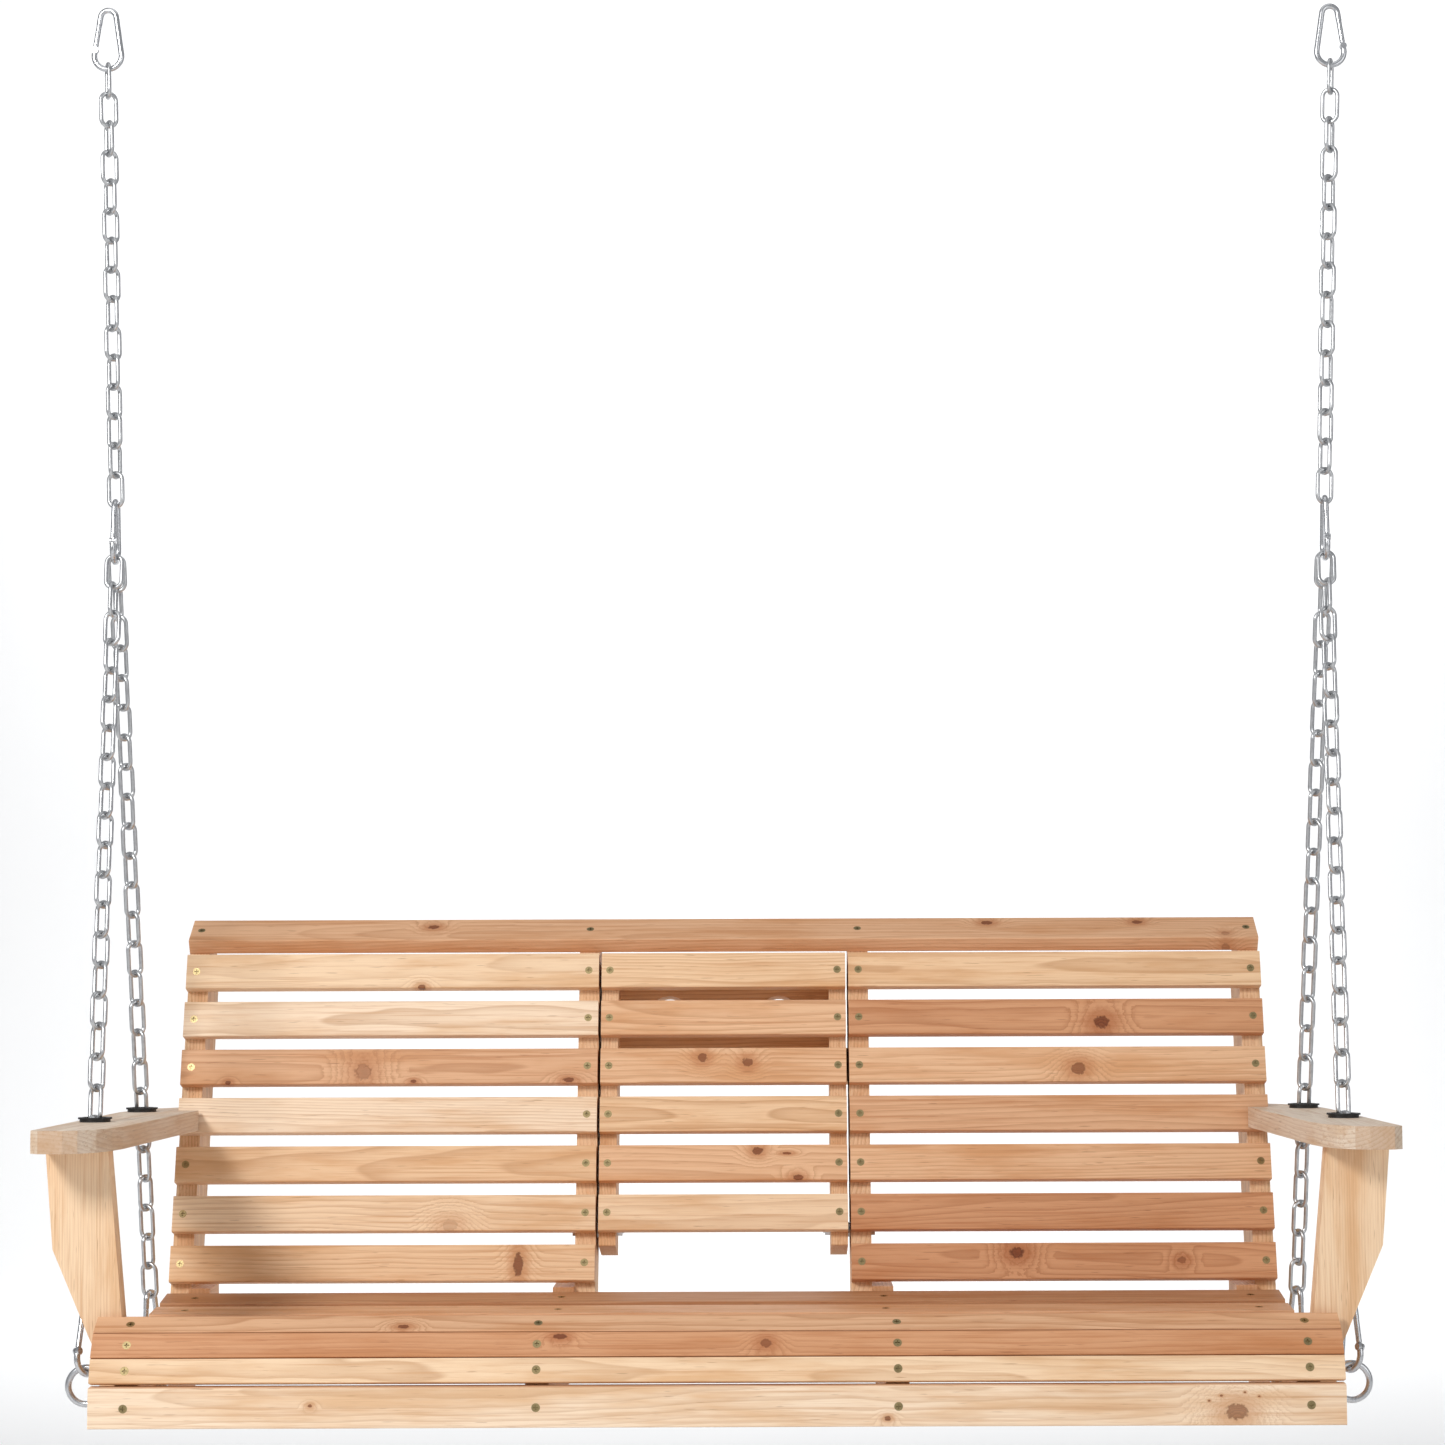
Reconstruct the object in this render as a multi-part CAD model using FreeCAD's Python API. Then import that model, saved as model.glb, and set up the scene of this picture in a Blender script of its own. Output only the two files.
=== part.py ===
import FreeCAD, Part
import math
import os
from FreeCAD import Vector

# Wooden porch swing for three, hung on zinc-plated chains, with a fold-down cup console
# in the middle of its back.
#
# Everything is drawn in a bench frame in millimetres: x to the right, y from front to
# back, z up, with y = 0 and z = 0 at the bottom front edge of the apron and x = 0 in the
# middle.  On export it is moved so that the point midway between the two hanging points
# is the origin.

# ---------------------------------------------------------------- driving dimensions

SLAT_END = 668.0            # half length of the full-width slats
SLAT_T = 17.0               # thickness of the slats
EDGE = 1.6                  # rounding of the long slat edges
FRAME_T = 25.0              # thickness of posts and seat supports

# back rest
BACK_TILT = 14.3            # lean of the back, degrees from upright
BACK_FOOT = (449.0, 112.0)  # y, z of the lower front edge of the lowest back slat
ROWS = 7
ROW_PITCH = 60.5
ROW_W = 44.0
SIDE_INNER = 155.0          # inner end of the side slats and inner face of the inner posts
POST_DEPTH = 72.0
POST_FOOT_Z = 5.0
CAP_FOOT = (566.3, 506.9)   # y, z of the lower front edge of the top slat
CAP_TILT = 32.0             # rise of the top slat, degrees from level
CAP_W = 50.0
CAP_T = 19.4

# console
CONSOLE_ROWS = 6
CONSOLE_HALF = 151.5        # half width of the console
RAIL_T = 20.5
RAIL_DEPTH = 71.5
RAIL_FOOT = 44.6            # rail ends, measured up the slope of the back
RAIL_TOP = 405.0
PIVOT_UP = 69.6             # pivot, measured up the slope and behind the slat faces
PIVOT_IN = 51.0
BOARD_W = 120.0
BOARD_T = 18.0
BOARD_UP = 344.0            # middle of the cup board, measured up the slope of the back
CUP_X = 69.0
CUP_R = 25.0
BATTEN_W = 44.0
BATTEN_UP = 262.0           # lower edge of the stop batten, clear of the cup holes

# seat
APRON_H = 42.5
APRON_REAR_H = 43.6         # the top is planed to meet the slant of the slat above
APRON_T = 17.0
ROLL_T = 15.0
ROLL = [(2.5, 47.2), (9.0, 73.5), (24.0, 99.0), (49.0, 113.5)]   # corners of the rolled front edge
ROLL_GAP = 0.5
SEAT_SLATS = 6
SEAT_REAR = 443.0
SEAT_W = 48.0
SEAT_PITCH = 65.5
SEAT_LOW = (265.0, 84.0)    # y, z of the lowest point of the seat
SEAT_RISE_FRONT = 0.0007    # curvature of the seat in front of the lowest point
SEAT_RISE_REAR = 0.000486   # and behind it
SUPPORT_REAR = 512.0
SUPPORT_BOTTOM = 0.5
SUPPORT_STEP = (447.0, 104.0)

# armrests
ARM_TOP = 315.5
ARM_OUTER = 730.0           # half the width over the armrests
ARM_T = 24.5
ARM_POST_Y = (60.0, 85.0)
GROMMET_R = 15.5
GROMMET_BORE = 14.25
GROMMET_COLLAR = 17.2
GROMMET_FLANGE = 19.0
GROMMET_H = 5.2
GROMMET_DEPTH = 9.0

# hanging gear
WIRE = 5.0                  # chain wire diameter
LINK_W = 23.5
LINK_PITCH = 35.8
LINK_SLACK = 0.2
UPPER_LINKS = 15
LEG_LINKS = 25
TURN_LINKS = 4              # links over which a chain takes up its turn
UPPER_TURN = (-20.0, -45.0, -70.0)   # turn of the links at the top, middle and foot
FRONT_TURN = (0.0, 40.0, 28.0)
REAR_TURN = (0.0, 40.0, 20.0)
CARABINER_L = 80.0
CARABINER_W = 40.0
CARABINER_TOP_W = 26.0
CARABINER_WIRE = 7.0
NOSE_Z = 18.0               # gate ends, measured from the middle of the carabiner
GATE_PIVOT_Z = -13.0
GATE_WIRE = 6.4
TOP_X = 742.0
MID_X = 725.0
SPREAD = 26.0               # the two legs sit this far round the bow of the mid carabiner
HANG_Y = 360.1              # the hanging line passes through the centre of mass
EYE_R = 19.9
EYE_WIRE = 7.2
FRONT_EYE = (696.0, 125.0, 30.0)
REAR_EYE_X = 696.0
REAR_EYE_Y = 500.0
BOLT_R = 4.0
FIT = 0.05

# screws
HEAD_R = 4.6
HEAD_H = 3.6
SHANK_R = 2.3

X_AXIS = Vector(1, 0, 0)
Y_AXIS = Vector(0, 1, 0)
Z_AXIS = Vector(0, 0, 1)
ORIGIN = Vector(0, 0, 0)

# ---------------------------------------------------------------- helpers


def sind(angle):
    return math.sin(math.radians(angle))


def cosd(angle):
    return math.cos(math.radians(angle))


def prism(points, start, travel):
    """Solid swept along travel from a polygon of points that already lie in space."""
    corners = [start + p for p in points]
    face = Part.Face(Part.makePolygon(corners + [corners[0]]))
    return face.extrude(travel)


def prism_x(section, x0, x1):
    """Solid with the (y, z) outline section, running from x0 to x1."""
    return prism([Vector(0, y, z) for y, z in section], Vector(x0, 0, 0), Vector(x1 - x0, 0, 0))


def prism_z(section, z0, z1):
    """Solid with the (x, y) outline section, running from z0 to z1."""
    return prism([Vector(x, y, 0) for x, y in section], Vector(0, 0, z0), Vector(0, 0, z1 - z0))


def soften(solid, radius, along):
    """Round the edges that run parallel to the direction along."""
    edges = []
    for edge in solid.Edges:
        run = edge.Vertexes[-1].Point - edge.Vertexes[0].Point
        if run.Length > 1 and abs(run.normalize().dot(along)) > 0.999:
            edges.append(edge)
    return solid.makeFillet(radius, edges)


def rod(start, end, radius):
    run = end - start
    return Part.makeCylinder(radius, run.Length, start, run)


def bent_rod(centre_z, bend, radius, start, sweep):
    """Round rod bent in the x-z plane about (0, 0, centre_z), angles counted from +x to +z."""
    arc = Part.makeTorus(bend, radius, ORIGIN, Z_AXIS, 0, 360, sweep)
    arc.rotate(ORIGIN, Z_AXIS, start)
    arc.rotate(ORIGIN, X_AXIS, 90)
    arc.translate(Z_AXIS * centre_z)
    return arc


def place(shape, origin, side, axis):
    """Copy of a shape whose local x points to side and whose local z points to axis."""
    across = axis.cross(side)
    turn = FreeCAD.Rotation(side, across, axis, "ZXY")
    copy = shape.copy()
    copy.Placement = FreeCAD.Placement(origin, turn)
    return copy


def mirrored(shapes):
    """The shapes together with their mirror images in the plane x = 0."""
    return shapes + [shape.mirror(ORIGIN, X_AXIS) for shape in shapes]


def drill(piece, cutters):
    """Cut from a piece every cutter that reaches it."""
    near = [c for c in cutters if piece.BoundBox.intersect(c.BoundBox)]
    if near:
        piece = piece.cut(near)
    return piece


def back_point(up, behind):
    """(y, z) of a point up the slope of the back and behind the faces of its slats."""
    y = BACK_FOOT[0] + up * sind(BACK_TILT) + behind * cosd(BACK_TILT)
    z = BACK_FOOT[1] + up * cosd(BACK_TILT) - behind * sind(BACK_TILT)
    return (y, z)


def back_box(up0, up1, behind0, behind1, x0, x1):
    corners = [(up0, behind0), (up1, behind0), (up1, behind1), (up0, behind1)]
    return prism_x([back_point(u, b) for u, b in corners], x0, x1)


def seat_height(y):
    rise = SEAT_RISE_FRONT if y < SEAT_LOW[0] else SEAT_RISE_REAR
    return SEAT_LOW[1] + rise * (y - SEAT_LOW[0]) ** 2


def unit(a, b):
    length = math.hypot(b[0] - a[0], b[1] - a[1])
    return ((b[0] - a[0]) / length, (b[1] - a[1]) / length)


def shifted(point, direction, distance):
    return (point[0] + direction[0] * distance, point[1] + direction[1] * distance)


def point_x(x, section_point):
    return Vector(x, section_point[0], section_point[1])


# ---------------------------------------------------------------- screws


def screw_shape(length, clearance):
    """Countersunk screw along local z, its head flush with z = 0 and its shank below."""
    tip = 4.0
    head = Part.makeCone(SHANK_R + clearance, HEAD_R + clearance, HEAD_H, Vector(0, 0, -HEAD_H))
    shank = Part.makeCylinder(SHANK_R + clearance, length - HEAD_H - tip, Vector(0, 0, tip - length))
    point = Part.makeCone(0.4 + clearance, SHANK_R + clearance, tip, Vector(0, 0, -length))
    screw = head.fuse([shank, point]).removeSplitter()
    if clearance:
        end = Part.makeCylinder(0.4 + clearance, 0.5, Vector(0, 0, -length - 0.5))
        return screw.fuse([Part.makeCylinder(HEAD_R + clearance, 0.4), end])
    arm = Part.makeBox(5.0, 1.1, 1.8, Vector(-2.5, -0.55, -1.7))
    other_arm = Part.makeBox(1.1, 5.0, 1.8, Vector(-0.55, -2.5, -1.7))
    return screw.cut([arm, other_arm])


class ScrewSet:
    """Screws of one body together with the holes they need."""

    def __init__(self):
        self.screws = []
        self.holes = []
        self.masters = {}

    def add(self, head, inward, length):
        if length not in self.masters:
            self.masters[length] = (screw_shape(length, 0.0), screw_shape(length, FIT))
        screw, hole = self.masters[length]
        axis = inward * -1.0
        side = X_AXIS if abs(axis.x) < 0.9 else Y_AXIS
        side = (side - axis * side.dot(axis)).normalize()
        self.screws.append(place(screw, head, side, axis))
        self.holes.append(place(hole, head, side, axis))


bench_screws = ScrewSet()
console_screws = ScrewSet()

# ---------------------------------------------------------------- frame positions

outer_support = (SLAT_END - 2 * FRAME_T, SLAT_END - FRAME_T)
outer_post = (SLAT_END - FRAME_T, SLAT_END)
inner_post = (SIDE_INNER, SIDE_INNER + FRAME_T)
inner_support = (SIDE_INNER + FRAME_T, SIDE_INNER + 2 * FRAME_T)
post_centres = [sum(outer_post) / 2, sum(inner_post) / 2]
support_centres = [sum(outer_support) / 2, sum(inner_support) / 2]
rail_centre = CONSOLE_HALF - RAIL_T / 2
back_inward = Vector(0, cosd(BACK_TILT), -sind(BACK_TILT))

wood = {}
console_wood = {}

# ---------------------------------------------------------------- back slats

for row in range(1, ROWS + 1):
    low = (ROWS - row) * ROW_PITCH
    screw_point = back_point(low + ROW_W / 2, 0)
    side_slat = back_box(low, low + ROW_W, 0, SLAT_T, SIDE_INNER, SLAT_END)
    side_slat = soften(side_slat, EDGE, X_AXIS)
    wood["back_right_%d" % row] = [side_slat]
    wood["back_left_%d" % row] = [side_slat.mirror(ORIGIN, X_AXIS)]
    for x in post_centres:
        for side in (-1, 1):
            bench_screws.add(point_x(side * x, screw_point), back_inward, 48)
    if row <= CONSOLE_ROWS:
        slat = back_box(low, low + ROW_W, 0, SLAT_T, -CONSOLE_HALF, CONSOLE_HALF)
        console_wood["console_slat_%d" % row] = [soften(slat, EDGE, X_AXIS)]
        for side in (-1, 1):
            console_screws.add(point_x(side * rail_centre, screw_point), back_inward, 48)

# ---------------------------------------------------------------- top slat and posts

cap_run = (cosd(CAP_TILT), sind(CAP_TILT))
cap_up = (-sind(CAP_TILT), cosd(CAP_TILT))
cap_rear = shifted(CAP_FOOT, cap_run, CAP_W)
cap_section = [CAP_FOOT, cap_rear, shifted(cap_rear, cap_up, CAP_T), shifted(CAP_FOOT, cap_up, CAP_T)]
wood["top_slat"] = [soften(prism_x(cap_section, -SLAT_END, SLAT_END), EDGE, X_AXIS)]


def post_face(z, behind):
    """y of a plane parallel to the back, at height z."""
    slope = math.tan(math.radians(BACK_TILT))
    return BACK_FOOT[0] + (z - BACK_FOOT[1]) * slope + behind / cosd(BACK_TILT)


cap_offset = post_face(CAP_FOOT[1], SLAT_T) - CAP_FOOT[0]
cap_reach = cap_offset / (cap_run[0] - math.tan(math.radians(BACK_TILT)) * cap_run[1])
post_back = SLAT_T + POST_DEPTH
chamfer_z = CAP_FOOT[1] - 40.0
post_section = [
    (post_face(POST_FOOT_Z, SLAT_T), POST_FOOT_Z),
    shifted(CAP_FOOT, cap_run, cap_reach),
    cap_rear,
    (post_face(chamfer_z, post_back), chamfer_z),
    (post_face(POST_FOOT_Z, post_back), POST_FOOT_Z),
]
wood["back_posts"] = mirrored([prism_x(post_section, *outer_post), prism_x(post_section, *inner_post)])

cap_screw = shifted(shifted(CAP_FOOT, cap_run, CAP_W / 2), cap_up, CAP_T)
for x in post_centres:
    for side in (-1, 1):
        bench_screws.add(point_x(side * x, cap_screw), Vector(0, -cap_up[0], -cap_up[1]), 48)

# ---------------------------------------------------------------- console frame

rail = back_box(RAIL_FOOT, RAIL_TOP, SLAT_T, SLAT_T + RAIL_DEPTH, CONSOLE_HALF - RAIL_T, CONSOLE_HALF)
console_wood["console_rails"] = mirrored([soften(rail, 2.0, X_AXIS)])

board_low = BOARD_UP - BOARD_W / 2
board_high = BOARD_UP + BOARD_W / 2
board_back = SLAT_T + RAIL_DEPTH
rail_inner = CONSOLE_HALF - RAIL_T
board = back_box(board_low, board_high, board_back - BOARD_T, board_back, -rail_inner, rail_inner)
for side in (-1, 1):
    hole_start = point_x(side * CUP_X, back_point(BOARD_UP, board_back - 2 * BOARD_T))
    board = board.cut(rod(hole_start, hole_start + back_inward * (3 * BOARD_T), CUP_R))
console_wood["cup_board"] = [board]
for side in (-1, 1):
    for up in (board_low + 25, board_high - 25):
        board_screw = point_x(side * CONSOLE_HALF, back_point(up, board_back - BOARD_T / 2))
        console_screws.add(board_screw, X_AXIS * -side, 45)

batten_box = (BATTEN_UP, BATTEN_UP + BATTEN_W, post_back, post_back + SLAT_T)
batten = back_box(*batten_box, -inner_post[1], inner_post[1])
wood["stop_batten"] = [soften(batten, EDGE, X_AXIS)]
for side in (-1, 1):
    batten_middle = back_point(BATTEN_UP + BATTEN_W / 2, post_back + SLAT_T)
    batten_screw = point_x(side * post_centres[1], batten_middle)
    bench_screws.add(batten_screw, back_inward * -1.0, 48)

# pivot bolts of the console: head outside the inner post, nut inside the console rail
pivot = back_point(PIVOT_UP, PIVOT_IN)
nut_gap = 0.5
nut_h = 6.5


def hexagon(x, centre, height, flats):
    """Hexagonal prism along x around the (y, z) point centre."""
    radius = flats / 2 / cosd(30)
    section = []
    for k in range(6):
        section.append((centre[0] + radius * cosd(60 * k), centre[1] + radius * sind(60 * k)))
    return prism_x(section, x, x + height)


bolt_end = rail_inner - nut_gap - nut_h - 2.0
pivot_bolt = rod(point_x(bolt_end, pivot), point_x(inner_post[1], pivot), BOLT_R)
pivot_bolt = pivot_bolt.fuse(hexagon(inner_post[1], pivot, 5.3, 13.0))
pivot_nut = hexagon(rail_inner - nut_gap - nut_h, pivot, nut_h, 13.0)
pivot_nut = pivot_nut.cut(rod(point_x(0, pivot), point_x(SLAT_END, pivot), BOLT_R + FIT))
spacer_x = (CONSOLE_HALF + nut_gap, SIDE_INNER)
spacer = rod(point_x(spacer_x[0], pivot), point_x(spacer_x[1], pivot), 9.0)
spacer = spacer.cut(rod(point_x(0, pivot), point_x(SLAT_END, pivot), BOLT_R + FIT))
pivot_gear = mirrored([pivot_bolt, pivot_nut, spacer])
pivot_hole = mirrored([rod(point_x(100, pivot), point_x(inner_post[1], pivot), BOLT_R + FIT)])

# ---------------------------------------------------------------- seat slats and supports

apron_section = [(0, 0), (0, APRON_H), (APRON_T, APRON_REAR_H), (APRON_T, 0)]
apron = prism_x(apron_section, -SLAT_END, SLAT_END)
wood["apron"] = [soften(apron, EDGE, X_AXIS)]
for x in support_centres:
    for side in (-1, 1):
        bench_screws.add(Vector(side * x, 0, APRON_H / 2), Y_AXIS, 48)


def inner_corner(before, corner, after, depth):
    """Corner of the line that runs at a depth inside a bent outline."""
    d0 = unit(before, corner)
    d1 = unit(corner, after)
    n0 = (d0[1], -d0[0])
    n1 = (d1[1], -d1[0])
    scale = depth / (1 + n0[0] * n1[0] + n0[1] * n1[1])
    return (corner[0] + (n0[0] + n1[0]) * scale, corner[1] + (n0[1] + n1[1]) * scale)


first_run = unit(ROLL[0], ROLL[1])
last_run = unit(ROLL[2], ROLL[3])
roll_inner = [
    shifted(ROLL[0], (first_run[1], -first_run[0]), ROLL_T),
    inner_corner(ROLL[0], ROLL[1], ROLL[2], ROLL_T),
    inner_corner(ROLL[1], ROLL[2], ROLL[3], ROLL_T),
    shifted(ROLL[3], (last_run[1], -last_run[0]), ROLL_T),
]
support_line = list(roll_inner)
for k in range(3):
    run = unit(ROLL[k], ROLL[k + 1])
    section = [
        shifted(ROLL[k], run, ROLL_GAP),
        shifted(ROLL[k + 1], run, -ROLL_GAP),
        shifted(roll_inner[k + 1], run, -ROLL_GAP),
        shifted(roll_inner[k], run, ROLL_GAP),
    ]
    wood["roll_slat_%d" % (k + 1)] = [soften(prism_x(section, -SLAT_END, SLAT_END), 1.2, X_AXIS)]
    middle = ((ROLL[k][0] + ROLL[k + 1][0]) / 2, (ROLL[k][1] + ROLL[k + 1][1]) / 2)
    for x in support_centres:
        for side in (-1, 1):
            bench_screws.add(point_x(side * x, middle), Vector(0, run[1], -run[0]), 40)

for k in range(SEAT_SLATS):
    front_y = SEAT_REAR - SEAT_W - (SEAT_SLATS - 1 - k) * SEAT_PITCH
    front = (front_y, seat_height(front_y))
    rear = (front_y + SEAT_W, seat_height(front_y + SEAT_W))
    run = unit(front, rear)
    down = (run[1], -run[0])
    section = [front, rear, shifted(rear, down, SLAT_T), shifted(front, down, SLAT_T)]
    support_line += [section[3], section[2]]
    # the foremost seat slat stops short of the arm posts
    end = outer_support[1] - 0.6 if k == 0 else SLAT_END
    wood["seat_slat_%d" % (k + 1)] = [soften(prism_x(section, -end, end), EDGE, X_AXIS)]
    middle = ((front[0] + rear[0]) / 2, (front[1] + rear[1]) / 2)
    for x in support_centres:
        for side in (-1, 1):
            bench_screws.add(point_x(side * x, middle), Vector(0, down[0], down[1]), 40)

support_section = [(APRON_T, SUPPORT_BOTTOM)] + support_line
support_section += [
    (SUPPORT_STEP[0], support_line[-1][1]),
    SUPPORT_STEP,
    (SUPPORT_REAR, SUPPORT_STEP[1]),
    (SUPPORT_REAR, SUPPORT_BOTTOM),
]
supports = [prism_x(support_section, *outer_support), prism_x(support_section, *inner_support)]
wood["seat_supports"] = mirrored(supports)

# screws hold every back post against its seat support
for x in (outer_post[1], inner_support[1]):
    for up in (40.0, 75.0):
        head = Vector(x, post_face(up, SLAT_T + POST_DEPTH * 0.3), up)
        bench_screws.add(head, X_AXIS * -1.0, 44)
        bench_screws.add(Vector(-head.x, head.y, head.z), X_AXIS, 44)

# ---------------------------------------------------------------- hanging gear positions

wire_r = WIRE / 2
car_r = CARABINER_WIRE / 2
link_rest = CARABINER_L / 2 - CARABINER_WIRE - wire_r - 0.15
ring_rest = CARABINER_L / 2 - CARABINER_WIRE - EYE_WIRE / 2 - 0.15
bow_z = -(CARABINER_L - CARABINER_W) / 2
leg_length = LEG_LINKS * LINK_PITCH + LINK_SLACK + WIRE
leg_reach = leg_length + link_rest + ring_rest
bow_seat = CARABINER_W / 2 - CARABINER_WIRE - wire_r - 0.15

front_ring = Vector(FRONT_EYE[0], FRONT_EYE[1], FRONT_EYE[2] + EYE_R)
leg_y = HANG_Y - bow_seat * sind(SPREAD)
drop = math.sqrt(leg_reach ** 2 - (leg_y - front_ring.y) ** 2 - (MID_X - front_ring.x) ** 2)
front_start = Vector(MID_X, leg_y, front_ring.z + drop)
rear_start = Vector(MID_X, HANG_Y + bow_seat * sind(SPREAD), front_start.z)
mid_bow = Vector(MID_X, HANG_Y, front_start.z + bow_seat * cosd(SPREAD))
mid_centre = mid_bow - Z_AXIS * bow_z
rear_drop = math.sqrt(leg_reach ** 2 - (REAR_EYE_Y - rear_start.y) ** 2 - (MID_X - REAR_EYE_X) ** 2)
rear_ring = Vector(REAR_EYE_X, REAR_EYE_Y, rear_start.z - rear_drop)
rear_eye = rear_ring - Z_AXIS * EYE_R
upper_length = UPPER_LINKS * LINK_PITCH + LINK_SLACK + WIRE
upper_end = mid_centre + Z_AXIS * link_rest
upper_rise = math.sqrt(upper_length ** 2 - (TOP_X - MID_X) ** 2)
upper_start = Vector(TOP_X, HANG_Y, upper_end.z + upper_rise)
top_centre = upper_start + Z_AXIS * link_rest
hang_height = top_centre.z + CARABINER_L / 2 - CARABINER_WIRE

# ---------------------------------------------------------------- chains


def link_shape():
    """One chain link, long in local z and wide in local x."""
    bend = (LINK_W - WIRE) / 2
    straight = LINK_PITCH + LINK_SLACK + WIRE - 2 * bend
    upper = bent_rod(straight / 2, bend, wire_r, 0, 180)
    lower = bent_rod(-straight / 2, bend, wire_r, 180, 180)
    sides = []
    for x in (-bend, bend):
        sides.append(Part.makeCylinder(wire_r, straight, Vector(x, 0, -straight / 2)))
    return upper.fuse([lower] + sides).removeSplitter()


link = link_shape()


def chain(start, end, count, side, turns):
    """Taut chain hung from start to end, every second link turned a quarter.

    turns are the further turns of the links at its top, in its middle and at its foot.
    """
    axis = (start - end).normalize()
    side = (side - axis * side.dot(axis)).normalize()
    inset = (LINK_PITCH + LINK_SLACK + WIRE) / 2
    links = []
    for k in range(count):
        centre = start - axis * (inset + k * LINK_PITCH)
        end_turn = turns[0] if k < count / 2 else turns[2]
        share = min(k, count - 1 - k, TURN_LINKS) / TURN_LINKS
        turn = end_turn + (turns[1] - end_turn) * share + 90 * (k % 2)
        links.append(place(link, centre, FreeCAD.Rotation(axis, turn).multVec(side), axis))
    return links


def toward(start, end, distance):
    return start + (end - start).normalize() * distance


upper_chain = chain(upper_start, upper_end, UPPER_LINKS, Y_AXIS, UPPER_TURN)
front_leg_end = toward(front_start, front_ring, leg_length)
rear_leg_end = toward(rear_start, rear_ring, leg_length)
front_leg = chain(front_start, front_leg_end, LEG_LINKS, X_AXIS, FRONT_TURN)
rear_leg = chain(rear_start, rear_leg_end, LEG_LINKS, X_AXIS, REAR_TURN)

# ---------------------------------------------------------------- carabiners

small_r = CARABINER_TOP_W / 2 - car_r
big_r = CARABINER_W / 2 - car_r
small_z = CARABINER_L / 2 - CARABINER_TOP_W / 2
lean = math.degrees(math.asin((big_r - small_r) / (small_z - bow_z)))


def on_circle(centre_z, radius, angle):
    return Vector(radius * cosd(angle), 0, centre_z + radius * sind(angle))


def side_point(z):
    """Point of the straight gate side of a carabiner at height z."""
    top = on_circle(small_z, small_r, lean)
    bottom = on_circle(bow_z, big_r, lean)
    share = (z - bottom.z) / (top.z - bottom.z)
    return bottom + (top - bottom) * share


gate_pivot = side_point(GATE_PIVOT_Z)
gate_nose = side_point(NOSE_Z)
gate_run = (gate_nose - gate_pivot).normalize()
gate_length = (gate_nose - gate_pivot).Length


def carabiner_body():
    """Pear-shaped snap hook without its gate, small end up and gate side toward local +x."""
    spine_top = on_circle(small_z, small_r, 180 - lean)
    spine_bottom = on_circle(bow_z, big_r, 180 - lean)
    body = bent_rod(small_z, small_r, car_r, lean, 180 - 2 * lean).fuse([
        bent_rod(bow_z, big_r, car_r, 180 - lean, 180 + 2 * lean),
        rod(spine_bottom, spine_top, car_r),
        rod(gate_nose, on_circle(small_z, small_r, lean), car_r),
        rod(on_circle(bow_z, big_r, lean), gate_pivot, car_r),
    ])
    cheeks = rod(gate_pivot - Y_AXIS * (car_r + 0.3), gate_pivot + Y_AXIS * (car_r + 0.3), car_r + 0.5)
    slot = rod(gate_pivot - Y_AXIS * 1.5, gate_pivot + Y_AXIS * 1.5, car_r + 1.1)
    pin = rod(gate_pivot - Y_AXIS * (car_r + 0.6), gate_pivot + Y_AXIS * (car_r + 0.6), 1.25)
    return body.fuse(cheeks).cut(slot).fuse(pin)


def gate_shape():
    """Sprung gate of a snap hook: a short rod with a tongue round the pivot pin."""
    rod_start = gate_pivot + gate_run * (car_r + 1.0)
    gate = rod(rod_start, gate_pivot + gate_run * (gate_length - 0.4), GATE_WIRE / 2)
    disk = rod(gate_pivot - Y_AXIS * 1.2, gate_pivot + Y_AXIS * 1.2, car_r)
    across = gate_run.cross(Y_AXIS)
    corner = gate_pivot - across * 2.2 - Y_AXIS * 1.2
    web = prism([ORIGIN, across * 4.4, across * 4.4 + gate_run * 6, gate_run * 6], corner, Y_AXIS * 2.4)
    hole = rod(gate_pivot - Y_AXIS * 4, gate_pivot + Y_AXIS * 4, 1.3)
    return gate.fuse([disk, web]).cut(hole).removeSplitter()


carabiner = carabiner_body()
gate = gate_shape()


def leg_frame(leg_end, ring, turn):
    """Centre, side and axis of a lower carabiner that follows its chain leg."""
    axis = (leg_end - ring).normalize()
    side = Y_AXIS * -1.0
    side = (side - axis * side.dot(axis)).normalize()
    side = FreeCAD.Rotation(axis, turn).multVec(side)
    return (leg_end - axis * link_rest, side, axis)


carabiner_frames = {
    "top": (top_centre, X_AXIS, Z_AXIS),
    "mid": (mid_centre, Y_AXIS * -1.0, Z_AXIS),
    "front": leg_frame(front_leg_end, front_ring, FRONT_TURN[2]),
    "rear": leg_frame(rear_leg_end, rear_ring, REAR_TURN[2]),
}


def flipped(vector):
    return Vector(-vector.x, vector.y, vector.z)


carabiners = {}
right_gates = {}
left_gates = {}
for name, frame in carabiner_frames.items():
    left_frame = [flipped(vector) for vector in frame]
    carabiners[name] = [place(carabiner, *frame), place(carabiner, *left_frame)]
    right_gates[name] = place(gate, *frame)
    left_gates[name] = place(gate, *left_frame)

# ---------------------------------------------------------------- eye bolts


def eye_bolt(centre):
    ring = Part.makeTorus(EYE_R, EYE_WIRE / 2, centre, Y_AXIS)
    tip = Vector(outer_support[0] - 11.0, centre.y, centre.z)
    return ring.fuse(rod(tip, centre - X_AXIS * EYE_R, BOLT_R)).removeSplitter()


def nut_and_washer(centre):
    point = (centre.y, centre.z)
    hole = rod(point_x(400, point), point_x(SLAT_END, point), BOLT_R + FIT)
    washer = rod(point_x(outer_support[0] - 1.6, point), point_x(outer_support[0], point), 9.0)
    nut = hexagon(outer_support[0] - 1.6 - nut_h, point, nut_h, 13.0)
    return [washer.cut(hole), nut.cut(hole)]


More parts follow.
